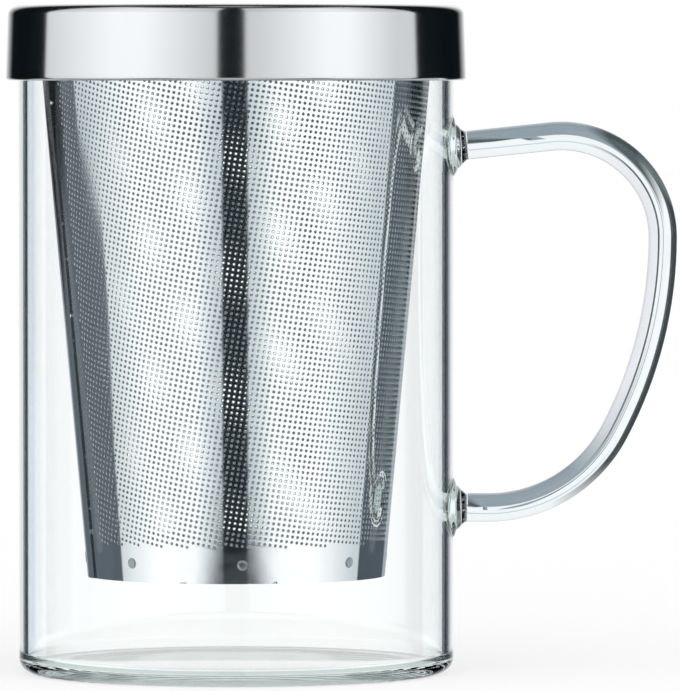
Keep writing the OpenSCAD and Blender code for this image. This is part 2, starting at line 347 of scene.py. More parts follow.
def divided(outline, hold=0.1 * MM, longest=5 * MM):
    """The closed outline with points held close to both ends of each long stretch, and along it."""
    points = []
    for here, following in zip(outline, outline[1:] + outline[:1]):
        a, b = Vector(here), Vector(following)
        span = (b - a).length
        points.append(here)
        if span > 4 * hold:
            pieces = max(1, math.ceil((span - 2 * hold) / longest))
            shares = [(hold + (span - 2 * hold) * k / pieces) / span for k in range(pieces + 1)]
            points += [tuple(a.lerp(b, share_along)) for share_along in shares]
    return points


def solid(name, verts, faces, crease=30):
    """An object with this mesh, smooth but for the edges that turn by more than crease degrees."""
    mesh = bpy.data.meshes.new(name)
    mesh.from_pydata(verts, [], faces)
    return smooth(placed(name, mesh), crease)


def placed(name, mesh):
    made = bpy.data.objects.new(name, mesh)
    bpy.context.scene.collection.objects.link(made)
    return made


def smooth(made, crease):
    made.data.shade_smooth()
    made.data.set_sharp_from_angle(angle=math.radians(crease))
    return made


def lathe(name, outline, turns, crease=30):
    """Turns a closed outline of (radius, height) round the mug's axis. It has its metal on its left."""
    verts, rings = [], []
    for radius, height in outline:
        number = turns if radius > TINY else 1
        rings.append(range(len(verts), len(verts) + number))
        for k in range(number):
            a = math.tau * k / turns
            verts.append((radius * math.cos(a), radius * math.sin(a), height))
    faces = []
    for low, high in zip(rings, rings[1:] + rings[:1]):
        for k in range(turns):
            after = k + 1
            ring = [low[k % len(low)], low[after % len(low)], high[after % len(high)], high[k % len(high)]]
            corners = list(dict.fromkeys(ring))
            if len(corners) > 2:
                faces.append(corners)
    return solid(name, verts, faces, crease)


def stands_for(made, body, slot, finish, *nodes):
    """Hands a finished piece to its CAD body, in place of these CAD nodes."""
    made.data.materials.clear()
    made.data.materials.append(finish_named(finish))
    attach(made, body)
    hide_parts(*nodes)
    return made


# Materials


def new_material(name):
    material = bpy.data.materials.new(name)
    material.use_nodes = True
    material.node_tree.nodes.clear()
    return material, Web(material.node_tree)


def shade(web, values):
    shader = web.add("ShaderNodeBsdfPrincipled", values=values)
    web.node("ShaderNodeOutputMaterial", values={"Surface": shader})


def glass_of(name, finishes, roughness):
    material, web = new_material(name)
    shade(
        web,
        {
            "Base Color": (*finishes.glass, 1),
            "Roughness": roughness,
            "IOR": 1.47,
            "Transmission Weight": 1.0,
        },
    )
    return material


def clear_glass(finishes):
    """The drawn cylinder, with no blur at all."""
    return glass_of("clear_glass", finishes, 0.0)


def rod_glass(finishes):
    """The bent rod. Its blur is too small to see, but tells the surroundings which glass the light left."""
    return glass_of("rod_glass", finishes, 0.02)


def brushed_steel(finishes):
    """Steel brushed round the axis: bright on the lid's rim, and satin on its flat top."""
    material, web = new_material("brushed_steel")
    sizes = bpy.context.scene.tea_lid
    x, y, z = web.split(web.add("ShaderNodeTexCoord", output="Object"))
    radius = across(x, y)
    rim = radius.up(sizes.radius - sizes.corner, 0.6 * MM)
    satin = (1 - rim) * z.up(sizes.top_z - 0.3 * MM, 0.2 * MM)
    # Streaks to the metre, with the brush and against it
    along, against = 60, 9000
    place = web.join(x * along, y * along, (z + radius) * against)
    streaks = web.add("ShaderNodeTexNoise", values={"Vector": place, "Scale": 1.0, "Detail": 3.0})
    bump = web.add("ShaderNodeBump", values={"Strength": 0.05, "Distance": 0.02 * MM, "Height": streaks})
    scored = (*[0.96 * c for c in finishes.lid_steel], 1)
    shade(
        web,
        {
            "Base Color": web.blend(streaks, scored, (*finishes.lid_steel, 1)),
            "Metallic": 1 - 0.4 * satin,
            "Roughness": finishes.lid_gloss + (streaks - 0.5) * 0.08 + satin * 0.27,
            "Anisotropic": 0.85,
            "Anisotropic Rotation": 0.25,
            "Normal": bump,
        },
    )
    return material


def bright_sheet(finishes):
    """Bright rolled sheet with faint clouds in its gloss."""
    material, web = new_material("bright_sheet")
    place = web.add("ShaderNodeTexCoord", output="Object")
    clouds = web.add("ShaderNodeTexNoise", values={"Vector": place, "Scale": 400.0, "Detail": 2.0})
    shade(
        web,
        {
            "Base Color": (*finishes.steel, 1),
            "Metallic": 1.0,
            "Roughness": finishes.sheet_gloss + (clouds - 0.5) * 0.04,
        },
    )
    return material


def weld_metal(finishes):
    """Duller metal with the fine scale that a weld leaves."""
    material, web = new_material("weld_metal")
    place = web.add("ShaderNodeTexCoord", output="Object")
    scale = web.add("ShaderNodeTexNoise", values={"Vector": place, "Scale": 6000.0, "Detail": 3.0})
    bump = web.add("ShaderNodeBump", values={"Strength": 0.3, "Distance": 0.03 * MM, "Height": scale})
    shade(
        web,
        {
            "Base Color": (*finishes.weld, 1),
            "Metallic": 1.0,
            "Roughness": 0.16 + (scale - 0.5) * 0.1,
            "Normal": bump,
        },
    )
    return material


def finish_named(name):
    """The material with this name, made at its first use."""
    found = bpy.data.materials.get(name)
    makers = {
        "clear_glass": clear_glass,
        "rod_glass": rod_glass,
        "brushed_steel": brushed_steel,
        "bright_sheet": bright_sheet,
        "weld_metal": weld_metal,
    }
    return found or makers[name](bpy.context.scene.tea_finishes)


# Geometry Nodes


def new_tree(name, inputs):
    """A tree with these named inputs and one mesh output: the web that adds its nodes, and its inputs."""
    tree = bpy.data.node_groups.new(name, "GeometryNodeTree")
    for label, kind in inputs.items():
        tree.interface.new_socket(label, in_out="INPUT", socket_type="NodeSocket" + kind)
    tree.interface.new_socket("Mesh", in_out="OUTPUT", socket_type="NodeSocketGeometry")
    web = Web(tree)
    source = web.node("NodeGroupInput")
    return web, {label: Wire(web, source.outputs[label]) for label in inputs}


def end_tree(web, mesh, given):
    realized = web.add("GeometryNodeRealizeInstances", values={0: mesh})
    values = {"Geometry": realized, "Material": given["Material"]}
    painted = web.add("GeometryNodeSetMaterial", values=values)
    web.node("NodeGroupOutput", values={"Mesh": painted})


def grown(name, tree, values, crease):
    """The plain mesh object that a tree makes from these values."""
    made = placed(name, bpy.data.meshes.new(name))
    modifier = made.modifiers.new("Make", "NODES")
    modifier.node_group = tree
    for item in tree.interface.items_tree:
        if item.in_out == "INPUT":
            modifier[item.identifier] = values[item.name]
    result = made.evaluated_get(bpy.context.evaluated_depsgraph_get())
    mesh = bpy.data.meshes.new_from_object(result)
    made.modifiers.remove(modifier)
    made.data = mesh
    mesh.name = name
    return smooth(made, crease)


def round_axis(web, radius, bearing, height):
    return web.join(radius * bearing.math("COSINE"), radius * bearing.math("SINE"), height)


def moved(web, mesh, place, chosen=True):
    values = {"Geometry": mesh, "Selection": chosen, "Position": place}
    return web.add("GeometryNodeSetPosition", values=values)


def merged(web, mesh, distance):
    return web.add("GeometryNodeMergeByDistance", values={"Geometry": mesh, "Distance": distance})


def punched_cell(web, given):
    """One cell with a hole: a ring of eight corners, carried from the border through the hole and back."""
    half = given["Sheet"] / 2
    rim = given["Hole"] / 2
    circle = web.add("GeometryNodeMeshCircle", {"fill_type": "NONE"}, {"Vertices": 8, "Radius": 1.0})
    circle = web.add(
        "GeometryNodeStoreNamedAttribute",
        {"data_type": "FLOAT_VECTOR"},
        {"Geometry": circle, "Name": "spoke", "Value": web.add("GeometryNodeInputPosition")},
    )
    spoke = web.add("GeometryNodeInputNamedAttribute", {"data_type": "FLOAT_VECTOR"}, {"Name": "spoke"})
    x, y, _ = web.split(spoke)
    border = given["Pitch"] / 2 / x.math("ABSOLUTE").math("MAXIMUM", y.math("ABSOLUTE"))
    mesh = moved(web, circle, web.join(x * border, y * border, half))
    chosen = True
    rings = (
        (rim + given["Rim roll"], half),
        (rim, half - given["Rim roll"]),
        (rim, 0 - half),
        (border, 0 - half),
    )
    for radius, height in rings:
        values = {"Mesh": mesh, "Selection": chosen, "Offset Scale": 0.0}
        step = web.node("GeometryNodeExtrudeMesh", {"mode": "EDGES"}, values)
        chosen = Wire(web, step.outputs["Top"])
        mesh = moved(web, Wire(web, step.outputs["Mesh"]), web.join(x * radius, y * radius, height), chosen)
    return mesh


def plain_cell(web, given):
    """One cell without a hole, front and back."""
    half = given["Sheet"] / 2
    sizes = {"Size X": given["Pitch"], "Size Y": given["Pitch"], "Vertices X": 3, "Vertices Y": 3}
    grid = web.add("GeometryNodeMeshGrid", values=sizes)
    front, back = (
        web.add("GeometryNodeTransform", values={"Geometry": grid, "Translation": web.join(0, 0, height)})
        for height in (half, 0 - half)
    )
    return web.add(
        "GeometryNodeJoinGeometry", values={0: [front, web.add("GeometryNodeFlipFaces", values={0: back})]}
    )


def floats(*names):
    return dict.fromkeys(names, "Float")


SHEET_INPUTS = (
    {"Columns": "Int", "Rows": "Int"}
    | floats("First column", "First row", "Pitch", "Hole", "Rim roll", "Sheet")
    | {"Material": "Material"}
)


def flat_sheet(web, given, punched, kept, trim):
    """
    A flat sheet of square cells. punched and kept say, from a cell's centre, whether it has a hole and
    whether it is on the sheet; trim pulls a corner that is off the sheet back to its border.
    """
    pitch = given["Pitch"]
    sizes = {
        "Size X": (given["Columns"] - 1) * pitch,
        "Size Y": (given["Rows"] - 1) * pitch,
        "Vertices X": given["Columns"],
        "Vertices Y": given["Rows"],
    }
    grid = web.add("GeometryNodeMeshGrid", values=sizes)
    corner = web.join(
        (given["First column"] + (given["Columns"] - 1) / 2) * pitch,
        given["First row"] + (given["Rows"] - 1) / 2 * pitch,
        0,
    )
    grid = web.add("GeometryNodeTransform", values={"Geometry": grid, "Translation": corner})
    x, y, z = web.split(web.add("GeometryNodeInputPosition"))
    has_hole = punched(x, y)
    cells = []
    for mask, cell in ((has_hole, punched_cell), (kept(x, y) - has_hole, plain_cell)):
        values = {"Points": grid, "Selection": mask, "Instance": cell(web, given)}
        cells.append(web.add("GeometryNodeInstanceOnPoints", values=values))
    mesh = web.add("GeometryNodeJoinGeometry", values={0: cells})
    mesh = web.add("GeometryNodeRealizeInstances", values={0: mesh})
    close = pitch / 100
    mesh = merged(web, mesh, close)
    mesh = merged(web, moved(web, mesh, trim(x, y, z)), close)
    faces = web.add("GeometryNodeInputMeshEdgeNeighbors")
    open_front = faces.below(1.5) * z.above(0)
    values = {"Mesh": mesh, "Selection": open_front, "Offset": web.join(0, 0, 0 - given["Sheet"])}
    mesh = web.add("GeometryNodeExtrudeMesh", {"mode": "EDGES"}, values)
    return merged(web, mesh, close)


def cell_reach(x, y, pitch):
    """How far a cell's corners reach from its centre, towards and away from the origin."""
    return (x.math("ABSOLUTE") + y.math("ABSOLUTE")) / across(x, y) * pitch * 0.499


def rolled_wall_tree():
    """The infuser's wall: a flat ring sector of punched sheet, rolled into a cone and lapped at the seam."""
    cone = floats("Low slant", "High slant", "Half sector", "Cone angle", "Low height", "Seam")
    bands = floats("Low band", "High band", "Seam band", "Lap")
    web, given = new_tree("rolled_wall", SHEET_INPUTS | cone | bands)
    low, high, half = given["Low slant"], given["High slant"], given["Half sector"]

    def polar(x, y):
        return across(x, y), x.math("ARCTAN2", y)

    def punched(x, y):
        slant, turn = polar(x, y)
        rim = given["Hole"] / 2
        to_seam = slant * (half - turn.math("ABSOLUTE")).math("SINE")
        return (
            slant.above(low + given["Low band"] + rim)
            * slant.below(high - given["High band"] - rim)
            * to_seam.above(given["Seam band"] + rim)
        )

    def kept(x, y):
        slant, turn = polar(x, y)
        margin = cell_reach(x, y, given["Pitch"])
        past_seam = slant * (turn.math("ABSOLUTE") - half).math("SINE")
        return (
            slant.above(low - margin)
            * slant.below(high + margin)
            * past_seam.below(given["Lap"] / 2 + margin)
        )

    def trim(x, y, z):
        slant, turn = polar(x, y)
        slant = slant.math("MAXIMUM", low).math("MINIMUM", high)
        limit = half + (given["Lap"] / 2 / slant).math("ARCSINE")
        turn = turn.math("MINIMUM", limit).math("MAXIMUM", 0 - limit)
        return web.join(slant * turn.math("SINE"), slant * turn.math("COSINE"), z)

    mesh = flat_sheet(web, given, punched, kept, trim)
    x, y, z = web.split(web.add("GeometryNodeInputPosition"))
    slant, turn = polar(x, y)
    lap = given["Lap"] / 2
    lift = (slant * (turn - half) + lap) / given["Sheet"] / 2
    out = z - given["Sheet"] / 2 + given["Sheet"] * lift.math("ADD", 1, clamp=True)
    sine, cosine = given["Cone angle"].math("SINE"), given["Cone angle"].math("COSINE")
    radius = slant * sine + out * cosine
    height = given["Low height"] + (slant - low) * cosine - out * sine
    bearing = given["Seam"] + math.pi + turn / sine
    end_tree(web, moved(web, mesh, round_axis(web, radius, bearing, height)), given)
    return web.tree


def base_sheet_tree():
    """The infuser's base: a punched disc, facing down."""
    disc = floats("Radius", "Punched radius", "Height")
    web, given = new_tree("base_sheet", SHEET_INPUTS | disc)

    def size(x, y):
        return across(x, y).math("MAXIMUM", given["Pitch"] / 10)

    def punched(x, y):
        return size(x, y).below(given["Punched radius"])

    def kept(x, y):
        return size(x, y).below(given["Radius"] + cell_reach(x, y, given["Pitch"]))

    def trim(x, y, z):
        shrink = (given["Radius"] / size(x, y)).math("MINIMUM", 1)
        return web.join(x * shrink, y * shrink, z)

    mesh = flat_sheet(web, given, punched, kept, trim)
    x, y, z = web.split(web.add("GeometryNodeInputPosition"))
    end_tree(web, moved(web, mesh, web.join(x, 0 - y, given["Height"] - z)), given)
    return web.tree


def weld_row_tree():
    """A row of spot welds around the mug's axis."""
    picked = {"Mark": "Object", "Number": "Int", "Material": "Material"}
    web, given = new_tree("weld_row", picked | floats("Radius", "Height", "First", "Lean"))
    mark = web.add("GeometryNodeObjectInfo", values={"Object": given["Mark"]}, output="Geometry")
    row = web.add("GeometryNodeMeshLine", values={"Count": given["Number"], "Offset": (0, 0, 0)})
    index = web.add("GeometryNodeInputIndex")
    bearing = given["First"] + index * math.tau / given["Number"]
    row = moved(web, row, round_axis(web, given["Radius"], bearing, given["Height"]))
    values = {"Points": row, "Instance": mark, "Rotation": web.join(0, given["Lean"], bearing)}
    end_tree(web, web.add("GeometryNodeInstanceOnPoints", values=values), given)
    return web.tree


# Pieces


def glass_outline(sizes):
    """Cross-section of the glass, from the middle of its hollow base round to the middle of its floor."""
    bore = sizes.radius - sizes.wall
    foot = sizes.radius - sizes.heel_r - sizes.foot_w
    ball = (foot**2 + sizes.punt**2) / (2 * sizes.punt)
    edge = math.degrees(math.asin(foot / ball))
    heel = (sizes.radius - sizes.heel_r, sizes.heel_r)
    inner = (bore - sizes.floor_r, sizes.floor + sizes.floor_r)
    rim = (sizes.radius - sizes.wall / 2, sizes.rim_z - sizes.wall / 2)
    outline = (
        arc((0, sizes.punt - ball), ball, 90, 90 - edge, 10)
        + arc(heel, sizes.heel_r, -90, 0, 16)
        + arc(rim, sizes.wall / 2, 0, 180, 20)
        + arc(inner, sizes.floor_r, 0, -90, 16)
        + [(0, sizes.floor)]
    )
    outline[0] = (0, sizes.punt)
    return divided(outline, hold=0.15 * MM, longest=2.5 * MM)


def rod_path(glass, handle):
    """Centreline of the handle between its two necks, as (x, z, heading in degrees)."""
    rise, lean = math.degrees(handle.rise), math.degrees(handle.lean)
    top_z = glass.rim_z - handle.depth
    bottom_z = top_z - handle.drop
    far = handle.reach - handle.thick / 2
    run = (far - handle.top_r * (1 + math.sin(handle.rise))) / math.cos(handle.rise)
    turned = math.cos(math.pi / 2 + handle.lean)
    grip_r = (
        handle.drop
        + run * math.sin(handle.rise)
        - handle.top_r * math.cos(handle.rise)
        - handle.bottom_r * (1 + turned)
    ) / -turned
    grip_x = glass.radius + far
    grip_z = top_z + run * math.sin(handle.rise) - handle.top_r * math.cos(handle.rise)
    lower_x = grip_x - (grip_r - handle.bottom_r) * (1 - math.cos(handle.lean)) - handle.bottom_r
    bends = (
        ((grip_x - handle.top_r, grip_z), handle.top_r, rise, -90, 32),
        ((grip_x - grip_r, grip_z), grip_r, -90, -90 - lean, 16),
        ((lower_x, bottom_z + handle.bottom_r), handle.bottom_r, -90 - lean, -180, 24),
    )
    stations = []
    for centre, radius, start, end, steps in bends:
        points = arc(centre, radius, start + 90, end + 90, steps)
        headings = [start + (end - start) * k / steps for k in range(steps + 1)]
        stations += [(*p, h) for p, h in zip(points, headings)][1 if stations else 0 :]
    return stations, top_z, bottom_z


def flare(handle):
    """
    The widening of the rod's end. Each step gives its distance from the wall, its two half widths, and
    the share by which it has turned from the wall's curve to the rod's own direction.
    """
    half_t, half_w = handle.thick / 2, handle.width / 2

    def eased(place, first, last):
        t = min(max((place - first) / (last - first), 0), 1)
        return t * t * (3 - 2 * t)

    # Shares of the neck's length: one inside the wall, close ones over the pad, wider ones down the neck
    in_wall, pad_end = -0.35, 0.304
    places = [in_wall] + [0.019 * k for k in range(17)] + [pad_end + 0.058 * (k + 1) for k in range(12)]
    steps = []
    for place in places:
        pad_edge, neck = eased(place, 0.02, 0.28), eased(place, 0.1, 1)
        wide = 1 - 0.42 * pad_edge - 0.58 * neck
        t = half_t + (handle.pad_r - half_t) * wide
        w = half_w + (handle.pad_w - half_w) * wide
        steps.append((handle.neck * place, t, w, 1 - wide))
    return steps


def handle_solid(glass, handle):
    """The rod from pad to pad."""
    path, top_z, bottom_z = rod_path(glass, handle)
    rise = math.degrees(handle.rise)
    ends = flare(handle)
    half_t, half_w = handle.thick / 2, handle.width / 2
    stations = []
    for out, t, w, share_along in ends:
        h = rise * share_along
        z = top_z + out * math.sin(handle.rise) * share_along
        stations.append((glass.radius + out, z, h, t, w, 1 - share_along))
    stations += [(x, z, h, half_t, half_w, 0) for x, z, h in path]
    for out, t, w, share_along in reversed(ends):
        stations.append((glass.radius + out, bottom_z, -180, t, w, 1 - share_along))
    verts, faces = [], []
    for x, z, heading, t, w, follow in stations:
        h = math.radians(heading)
        for k in range(handle.sides):
            a = math.tau * k / handle.sides
            y = w * math.sin(a)
            sag = follow * (glass.radius - math.sqrt(glass.radius**2 - y**2))
            verts.append((x - t * math.cos(a) * math.sin(h) - sag, y, z + t * math.cos(a) * math.cos(h)))
    for i in range(len(stations) - 1):
        for k in range(handle.sides):
            a, b = i * handle.sides + k, i * handle.sides + (k + 1) % handle.sides
            faces.append((a, b, b + handle.sides, a + handle.sides))
    faces.append(tuple(range(handle.sides)))
    faces.append(tuple(range(len(verts) - 1, len(verts) - 1 - handle.sides, -1)))
    return solid("glass_rod", verts, faces)


def fused(name, base, extra, crease):
    """One mesh from two overlapping solids."""
    for part in (base, extra):
        work = bmesh.new()
        work.from_mesh(part.data)
        bmesh.ops.recalc_face_normals(work, faces=work.faces)
        work.to_mesh(part.data)
        work.free()
    join = base.modifiers.new("Join", "BOOLEAN")
    join.operation = "UNION"
    join.solver = "EXACT"
    join.object = extra
    result = base.evaluated_get(bpy.context.evaluated_depsgraph_get())
    mesh = bpy.data.meshes.new_from_object(result)
    mesh.name = name
    bpy.data.objects.remove(base)
    bpy.data.objects.remove(extra)
    return smooth(placed(name, mesh), crease)


class TEAMUG_OT_glass(bpy.types.Operator):
    """Make the glass cylinder and fuse its rod handle on"""

    bl_idname = "teamug.glass"
    bl_label = "Make Glass"
    bl_options = {"REGISTER", "UNDO"}

    def execute(self, context):
        glass, handle = context.scene.tea_glass, context.scene.tea_handle
        cylinder = lathe("glass_cylinder", glass_outline(glass), glass.turns)
        rod = handle_solid(glass, handle)
        mug = fused("mug_glass", cylinder, rod, crease=14)
        stands_for(mug, "mug", "glass", "clear_glass", "glass_body", "glass_handle")
        mug.data.materials.append(finish_named("rod_glass"))
        for face in mug.data.polygons:
            face.material_index = int(face.center.x > glass.radius + handle.neck)
        return {"FINISHED"}


class TEAMUG_OT_infuser_wall(bpy.types.Operator):
    """Make the infuser's perforated wall, in panels"""

    bl_idname = "teamug.infuser_wall"
    bl_label = "Make Infuser Wall"
    bl_options = {"REGISTER", "UNDO"}

    PANELS = 7

    def execute(self, context):
        sizes = context.scene.tea_infuser
        sine = math.sin(sizes.slope)
        low = sizes.low_r / sine
        high = low + (sizes.high_z - sizes.low_z) / math.cos(sizes.slope)
        half = math.pi * sine
        reach_x = math.ceil((high * math.sin(half) + sizes.lap) / sizes.pitch)
        first_row = low * math.cos(half) - 3 * sizes.pitch
        tree = rolled_wall_tree()
        bounds = [round(-reach_x + (2 * reach_x + 1) * k / self.PANELS) for k in range(self.PANELS + 1)]
        for k, (start, end) in enumerate(zip(bounds, bounds[1:])):
            values = sheet_values(sizes) | {
                "Columns": end - start,
                "Rows": math.ceil((high - first_row) / sizes.pitch) + 2,
                "First column": float(start),
                "First row": first_row,
                "Low slant": low,
                "High slant": high,
                "Half sector": half,
                "Cone angle": sizes.slope,
                "Low band": sizes.low_band,
                "High band": sizes.high_band,
                "Seam band": sizes.seam_band,
                "Lap": sizes.lap,
                "Low height": sizes.low_z,
                "Seam": sizes.seam,
            }
            panel = grown(f"infuser_wall_panel_{k + 1}", tree, values, crease=30)
            stands_for(panel, "infuser", "infuser_steel", "bright_sheet", "infuser_wall")
        return {"FINISHED"}


def sheet_values(sizes):
    return {
        "Pitch": sizes.pitch,
        "Hole": sizes.hole,
        "Rim roll": sizes.roll,
        "Sheet": sizes.sheet,
        "Material": finish_named("bright_sheet"),
    }


class TEAMUG_OT_infuser_base(bpy.types.Operator):
    """Make the infuser's base pan: a punched disc and its upturned flange"""

    bl_idname = "teamug.infuser_base"
    bl_label = "Make Infuser Base"
    bl_options = {"REGISTER", "UNDO"}

    def execute(self, context):
        sizes = context.scene.tea_infuser
        lean = math.tan(sizes.slope)
        inside = -(1.5 * sizes.sheet + sizes.gap) / math.cos(sizes.slope)
        middle = sizes.low_z + sizes.sheet / 2
        corner = sizes.low_r + sizes.sheet / 2 * lean + inside
        disc_r = corner - sizes.pan_bend - 0.3 * MM
        path = [
            (disc_r, middle),
            (corner, middle),
            (sizes.low_r + sizes.pan_h * lean + inside, sizes.low_z + sizes.pan_h),
        ]
        outline = divided(bent_strip(path, [0, sizes.pan_bend, 0], sizes.sheet))
        flange = lathe("infuser_base_flange", outline, PAN_FACES)
        stands_for(flange, "infuser", "infuser_steel", "bright_sheet", "infuser_base")
        rows = 2 * math.ceil(disc_r / sizes.pitch) + 1
        values = sheet_values(sizes) | {
            "Columns": rows,
            "Rows": rows,
            "First column": -(rows - 1) / 2,
            "First row": -(rows - 1) / 2 * sizes.pitch,
            "Radius": disc_r,
            "Punched radius": disc_r - 2 * sizes.hole,
            "Height": middle,
        }
        disc = grown("infuser_base_sheet", base_sheet_tree(), values, crease=30)
        stands_for(disc, "infuser", "infuser_steel", "bright_sheet", "infuser_base")
        return {"FINISHED"}


class TEAMUG_OT_collar(bpy.types.Operator):
    """Make the collar that hangs the infuser on the rim"""

    bl_idname = "teamug.collar"
    bl_label = "Make Collar"
    bl_options = {"REGISTER", "UNDO"}

    def execute(self, context):
        sizes = context.scene.tea_infuser
        half = sizes.collar_t / 2
        top = COLLAR_HIGH.z - half
        shoulder = COLLAR_HIGH.z - sizes.collar_t - sizes.collar_h + half
        band = sizes.collar_r - half

        def grip(z):
            out = (sizes.gap + half) / math.cos(sizes.slope)
            return sizes.low_r + (z - sizes.low_z) * math.tan(sizes.slope) + out

        path = [
            (grip(COLLAR_LOW.z), COLLAR_LOW.z),
            (grip(shoulder), shoulder),
            (band, shoulder),
            (band, top),
            (reach("infuser_collar"), top),
        ]
        bend = min(sizes.collar_bend, (band - grip(shoulder)) / 2)
        outline = divided(bent_strip(path, [bend] * 5, sizes.collar_t))
        collar = lathe("infuser_collar_ring", outline, ROUND_FACES)
        stands_for(collar, "infuser", "infuser_steel", "bright_sheet", "infuser_collar")
        return {"FINISHED"}


class TEAMUG_OT_lid(bpy.types.Operator):
    """Make the cap lid with its hem, and the locating ring under it"""

    bl_idname = "teamug.lid"
    bl_label = "Make Lid"
    bl_options = {"REGISTER", "UNDO"}

    def execute(self, context):
        sizes = context.scene.tea_lid
        half = sizes.sheet / 2
        top, low = sizes.top_z - half, sizes.low_z + half
        skirt = sizes.radius - half
        fold = sizes.sheet + sizes.hem_gap
        path = [
            (0, top),
            (skirt - (top - low) * math.tan(sizes.draft), top),
            (skirt, low),
            (skirt - fold, low),
            (skirt - fold, sizes.low_z + sizes.hem),
        ]
        bends = [0, sizes.corner - half, 0.495 * fold, 0.495 * fold, 0]
        outline = divided(bent_strip(path, bends, sizes.sheet, steps=12), longest=6 * MM)
        shell = lathe("lid_cap", outline[::-1], ROUND_FACES)
        stands_for(shell, "lid", "lid_steel", "brushed_steel", "lid_shell")
        half = sizes.ring_t / 2
        top = RING_HIGH.z - half
        wall = sizes.ring_r - half
        path = [(reach("lid_locating_ring"), top), (wall, top), (wall, RING_LOW.z)]
        outline = divided(bent_strip(path, [0, sizes.ring_bend, 0], sizes.ring_t))
        ring = lathe("lid_ring", outline, ROUND_FACES)
        stands_for(ring, "lid", "infuser_steel", "bright_sheet", "lid_locating_ring")
        return {"FINISHED"}


# Half of a weld mark's section, as shares of its radius and of its raised ring's height
WELD_SHAPE = (
    (0, -1),
    (1, -1),
    (1, 0),
    (0.95, 0.8),
    (0.86, 1),
    (0.76, 0.6),
    (0.66, 0.2),
    (0.56, 0.3),
    (0, 0.3),
)


class TEAMUG_OT_welds(bpy.types.Operator):
    """Make the spot welds of the infuser and of the lid's ring"""

    bl_idname = "teamug.welds"
    bl_label = "Make Spot Welds"
    bl_options = {"REGISTER", "UNDO"}

    def execute(self, context):
        welds, infuser, lid = context.scene.tea_welds, context.scene.tea_infuser, context.scene.tea_lid
        outline = [(out * welds.radius, up * welds.proud) for out, up in WELD_SHAPE]
        mark = lathe("weld_mark", outline, MARK_FACES, crease=50)
        tree = weld_row_tree()
        pan_z = infuser.low_z + welds.pan_up
        collar_z = COLLAR_HIGH.z - infuser.collar_t - infuser.collar_h - welds.collar_down
        over = infuser.collar_t + infuser.gap

        def wall_r(z):
            return infuser.low_r + (z - infuser.low_z) * math.tan(infuser.slope)

        lean = math.pi / 2 + infuser.slope
        ring_r, ring_z = lid.ring_r + 2 * welds.radius, RING_HIGH.z - lid.ring_t
        rows = (
            ("infuser_pan_welds", welds.number, wall_r(pan_z), pan_z, welds.first, lean),
            ("infuser_collar_welds", welds.number, wall_r(collar_z) + over, collar_z, welds.first, lean),
            ("lid_ring_welds", welds.ring_number, ring_r, ring_z, 0.0, math.pi),
        )
        for name, number, radius, height, first, tilt in rows:
            values = {
                "Mark": mark,
                "Number": number,
                "Radius": radius,
                "Height": height,
                "First": first,
                "Lean": tilt,
                "Material": finish_named("weld_metal"),
            }
            made = grown(name, tree, values, crease=50)
            body = "lid" if name.startswith("lid") else "infuser"
            stands_for(made, body, "weld_steel", "weld_metal", body + "_spot_welds")
        bpy.data.objects.remove(mark)
        return {"FINISHED"}


# The stage

# With fewer bounces, light that is guided in the glass wall would end in black
BOUNCES = 48
FLOOR_REACH = 6.0
SENSOR_WIDTH = 36

# Half the width in degrees of the dark gap between the softboxes
HALF_GAP = 6.8

# Colours that metal and glass show of the studio
WHITE = grey(1.0)
GAP_BLACK = (0.004, 0.007, 0.01, 1)
CARD_BLACK = (0.005, 0.0075, 0.009, 1)
WEDGE_BLACK = (0.004, 0.006, 0.008, 1)
LEFT_SLATE = (0.1, 0.125, 0.15, 1)
RIGHT_SLATE = (0.065, 0.09, 0.11, 1)
SOFTBOX = (0.74, 0.81, 0.85, 1)
SOFTBOX_PEAK = grey(1.3)
LIMB_DARK = (0.13, 0.115, 0.13, 1)
LIMB_PALE = (0.42, 0.45, 0.5, 1)
PALE_GREEN = (0.8, 0.88, 0.87, 1)
STREAK_TEAL = (0.3, 0.36, 0.39, 1)
GUIDED_GREEN = (0.62, 0.72, 0.7, 1)
EDGE_STRIP = (0.035, 0.05, 0.065, 1)
SIDE_BLUE = (0.26, 0.34, 0.4, 1)
WALL_BLUE = (0.92, 1.02, 1.1, 1)
MUG_WHITE = (1.34, 1.35, 1.36, 1)
MUG_BLUE = (1.12, 1.22, 1.34, 1)
CLEAR = (0.93, 0.98, 1.0, 1)
ROD_CLEAR = (0.94, 0.98, 1.0, 1)
ROD_LAVENDER = (0.87, 0.88, 0.93, 1)
ROD_LINE = (0.06, 0.07, 0.08, 1)
ROD_EDGE = (0.045, 0.062, 0.064, 1)
ROD_EDGE_LOW = (0.2, 0.25, 0.27, 1)
ROD_BAND = (0.3, 0.36, 0.41, 1)
ROD_BAND_DEEP = (0.06, 0.085, 0.09, 1)
ROD_RISE = (0.55, 0.66, 0.73, 1)


class Heading:
    """
    Where a ray leaves to, with its angles in degrees. front and back are its turns to the right, from the
    camera's side and from the far side. off is its turn from the front to either side.
    """

    def __init__(self, x, y, z):
        degrees = 180 / math.pi
        self.x, self.z = x, z
        self.front = x.math("ARCTAN2", 0 - y) * degrees
        self.back = x.math("ARCTAN2", y) * degrees
        self.off = self.front.math("ABSOLUTE")
        self.height = z.math("ARCSINE") * degrees
        self.drop = 0 - self.height
        self.steep = self.height.math("ABSOLUTE")
        self.from_back = y.math("ARCCOSINE") * degrees
        self.is_right = self.front.above(0)
        self.is_back = y.up(0.97, 0.02)


def upright_streaks(ray):
    """Soft upright streaks, for metal that is looked down on."""
    return ray.off.within(38, 58, 16) + ray.off.within(98, 126, 16)


